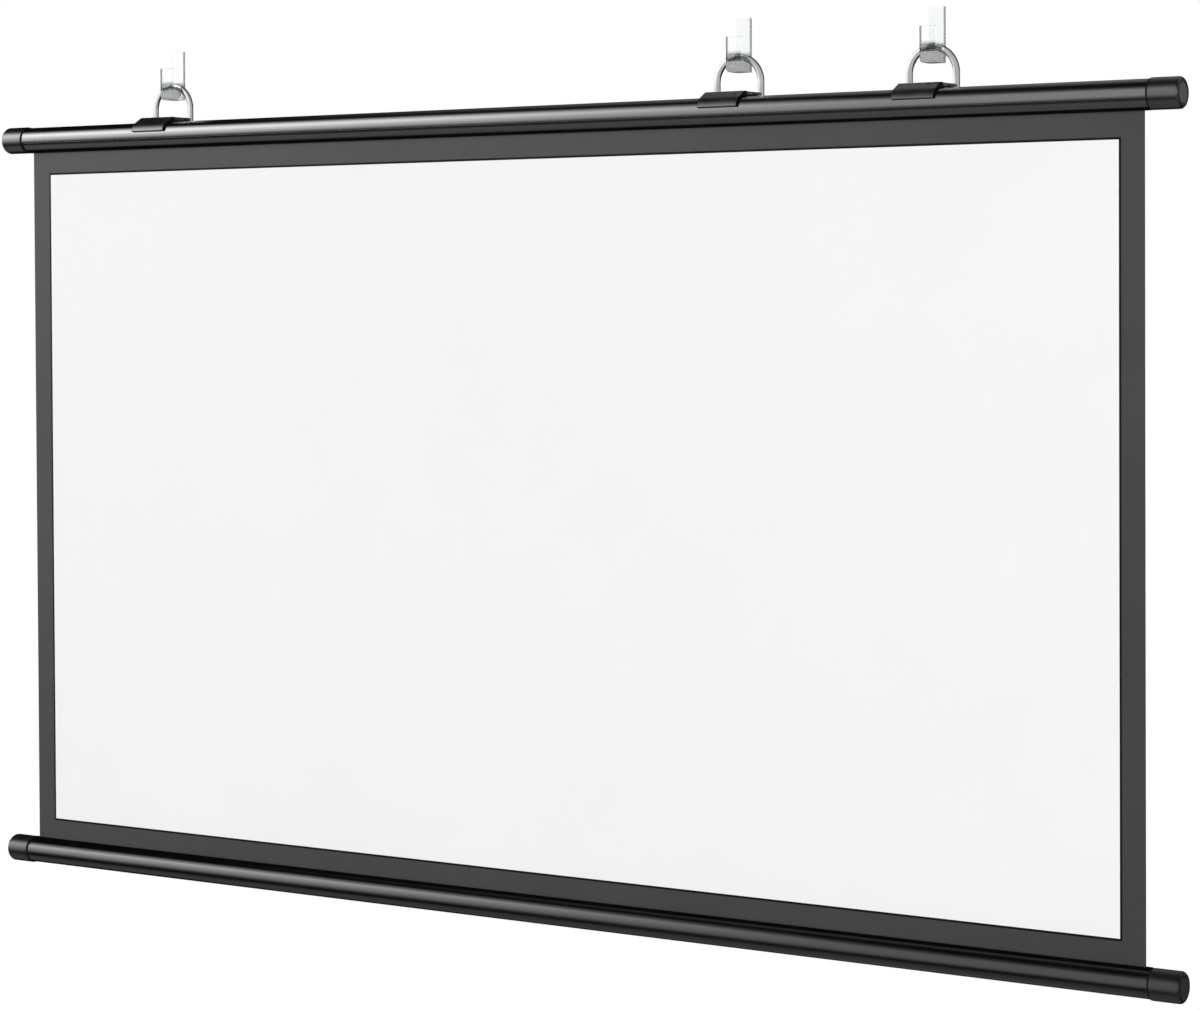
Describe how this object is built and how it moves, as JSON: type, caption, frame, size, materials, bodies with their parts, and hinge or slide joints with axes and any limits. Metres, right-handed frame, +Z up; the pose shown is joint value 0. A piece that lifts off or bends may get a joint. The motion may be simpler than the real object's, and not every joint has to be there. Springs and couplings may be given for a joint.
{
  "type": "portable projector screen",
  "caption": "Wall-hung roll-up projector screen: white picture with black borders between two round black bars, carried by clips and steel rings on clear adhesive hooks.",
  "frame": {"origin": "on the wall, midway along the screen, level with the axis in the hook troughs on which the rings swing", "axes": "+X along the bars, to the right as seen by the viewer; +Y into the wall; +Z up. The picture faces -Y"},
  "size_m": [1.4568, 0.059, 0.9386],
  "materials": {
    "black_tube": "gloss black paint on extruded aluminium",
    "black_cap": "satin black moulded plastic",
    "black_clip": "gloss black paint on bent sheet steel",
    "ring_steel": "polished plated steel",
    "clear_hook": "clear moulded plastic",
    "hook_pad": "thin clear adhesive gel",
    "white_sheet": "matt white coated projection cloth",
    "black_border": "matt black coating on the projection cloth",
    "black_backing": "matt black coated back of the cloth",
    "bead_rod": "plain extruded plastic rod"
  },
  "bodies": {
    "wall_hooks": {"hook_pad_left": "hook_pad", "hook_pad_middle": "hook_pad", "hook_pad_right": "hook_pad", "wall_hook_left": "clear_hook", "wall_hook_middle": "clear_hook", "wall_hook_right": "clear_hook"},
    "left_ring": {"ring_left": "ring_steel"},
    "middle_ring": {"ring_middle": "ring_steel"},
    "right_ring": {"ring_right": "ring_steel"},
    "left_clip": {"clip_left": "black_clip"},
    "middle_clip": {"clip_middle": "black_clip"},
    "right_clip": {"clip_right": "black_clip"},
    "top_bar": {"top_tube": "black_tube", "top_cap_left": "black_cap", "top_cap_right": "black_cap", "top_bead_rod": "bead_rod", "border_top": "black_border", "screen_surface": "white_sheet", "border_left": "black_border", "border_right": "black_border", "backing_sheet": "black_backing"},
    "sheet_foot": {"border_bottom": "black_border"},
    "bottom_bar": {"bottom_tube": "black_tube", "bottom_cap_left": "black_cap", "bottom_cap_right": "black_cap", "bottom_bead_rod": "bead_rod", "bottom_hem": "black_border"}
  },
  "joints": [
    {"name": "hanger_swing", "type": "hinge", "parent": "wall_hooks", "child": "left_ring", "pos_m": [-0.50464, -0.0125, 0], "axis": [-1, 0, 0], "range_deg": [0, 50]},
    {"name": "middle_ring_swing", "type": "hinge", "parent": "wall_hooks", "child": "middle_ring", "pos_m": [0.23904, -0.0125, 0], "axis": [-1, 0, 0], "range_deg": [0, 50]},
    {"name": "right_ring_swing", "type": "hinge", "parent": "wall_hooks", "child": "right_ring", "pos_m": [0.45683, -0.0125, 0], "axis": [-1, 0, 0], "range_deg": [0, 50]},
    {"name": "bar_tilt", "type": "hinge", "parent": "left_ring", "child": "left_clip", "pos_m": [-0.50464, -0.0125, -0.04367], "axis": [-1, 0, 0], "range_deg": [0, 40]},
    {"name": "middle_clip_tilt", "type": "hinge", "parent": "middle_ring", "child": "middle_clip", "pos_m": [0.23904, -0.0125, -0.04367], "axis": [-1, 0, 0], "range_deg": [0, 40]},
    {"name": "right_clip_tilt", "type": "hinge", "parent": "right_ring", "child": "right_clip", "pos_m": [0.45683, -0.0125, -0.04367], "axis": [-1, 0, 0], "range_deg": [0, 40]},
    {"name": "bar_slide", "type": "slide", "parent": "left_clip", "child": "top_bar", "axis": [1, 0, 0], "range_m": [-0.15, 0.15]},
    {"name": "roll_up", "type": "slide", "parent": "top_bar", "child": "sheet_foot", "axis": [0, 0, 1], "range_m": [0, 0.735], "deforming": ["screen_surface", "border_left", "border_right", "backing_sheet"]},
    {"name": "bottom_roll", "type": "hinge", "parent": "sheet_foot", "child": "bottom_bar", "pos_m": [0, -0.0425, -0.88667], "axis": [-1, 0, 0], "range_deg": [0, 2880]}
  ],
  "couplings": [
    {"joint": "middle_ring_swing", "follows": "hanger_swing", "ratio": 1},
    {"joint": "right_ring_swing", "follows": "hanger_swing", "ratio": 1},
    {"joint": "middle_clip_tilt", "follows": "bar_tilt", "ratio": 1},
    {"joint": "right_clip_tilt", "follows": "bar_tilt", "ratio": 1},
    {"joint": "bottom_roll", "follows": "roll_up", "rad_per_m": 68.38}
  ]
}
